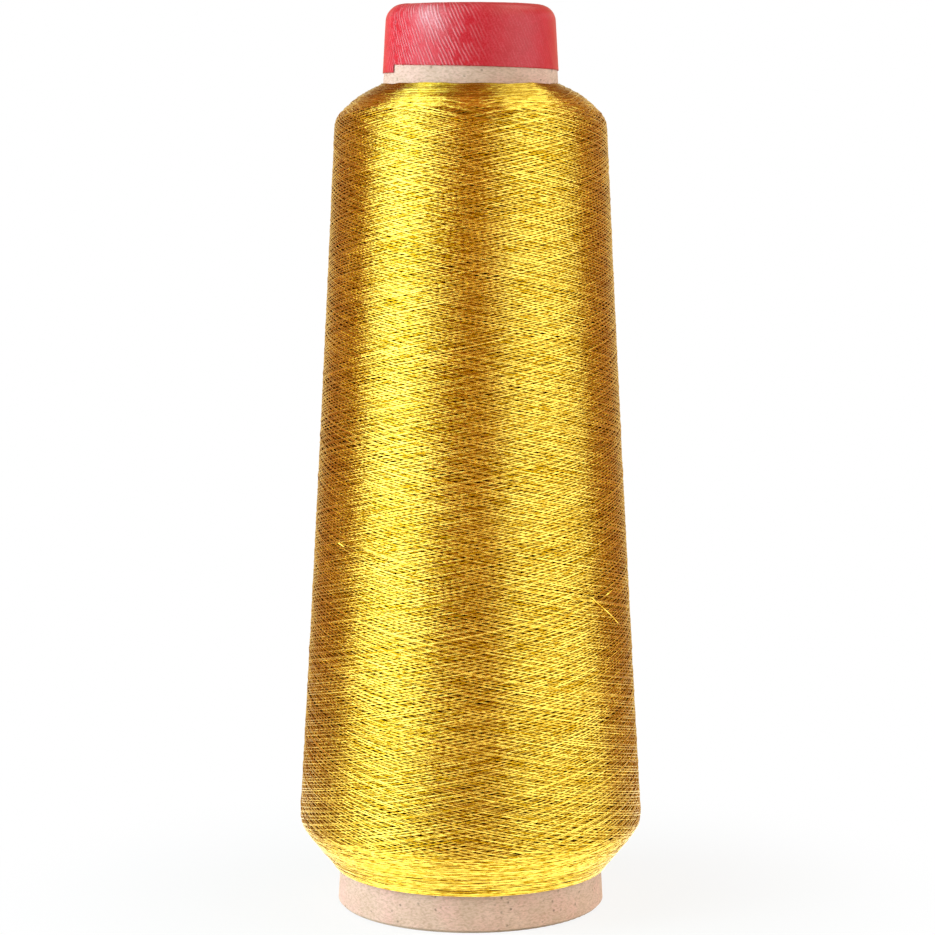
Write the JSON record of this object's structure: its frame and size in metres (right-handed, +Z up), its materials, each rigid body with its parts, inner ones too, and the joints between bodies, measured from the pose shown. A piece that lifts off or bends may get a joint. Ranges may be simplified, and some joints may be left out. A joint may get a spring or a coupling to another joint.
{
  "type": "spool of thread",
  "caption": "Tall tapered paper cone carrying a cross-wound package of gold metallic embroidery thread, with a rolled-in nose wrapped in a red paper band.",
  "frame": {"origin": "centre of the base rim's plane, on the cone's axis", "axes": "+Z up the cone's axis from the base rim to the nose; -Y towards the viewer in the front view, with the loose thread end right of centre on the +X side"},
  "size_m": [0.0896, 0.0887, 0.23],
  "materials": {
    "rolled_board": "matt grey-brown rolled kraft board",
    "facing": "smooth matt beige recycled paper with fine fibres and dark specks",
    "band_paper": "red coloured paper, burnished, with fine slanting ridges",
    "metallic_thread": "gold metallised film wrapped round a textile core, glossy"
  },
  "bodies": {
    "root": {"cone_board": "rolled_board", "facing_paper": "facing", "nose_band": "band_paper", "thread_package": "metallic_thread", "outer_turns": "metallic_thread"}
  },
  "joints": []
}
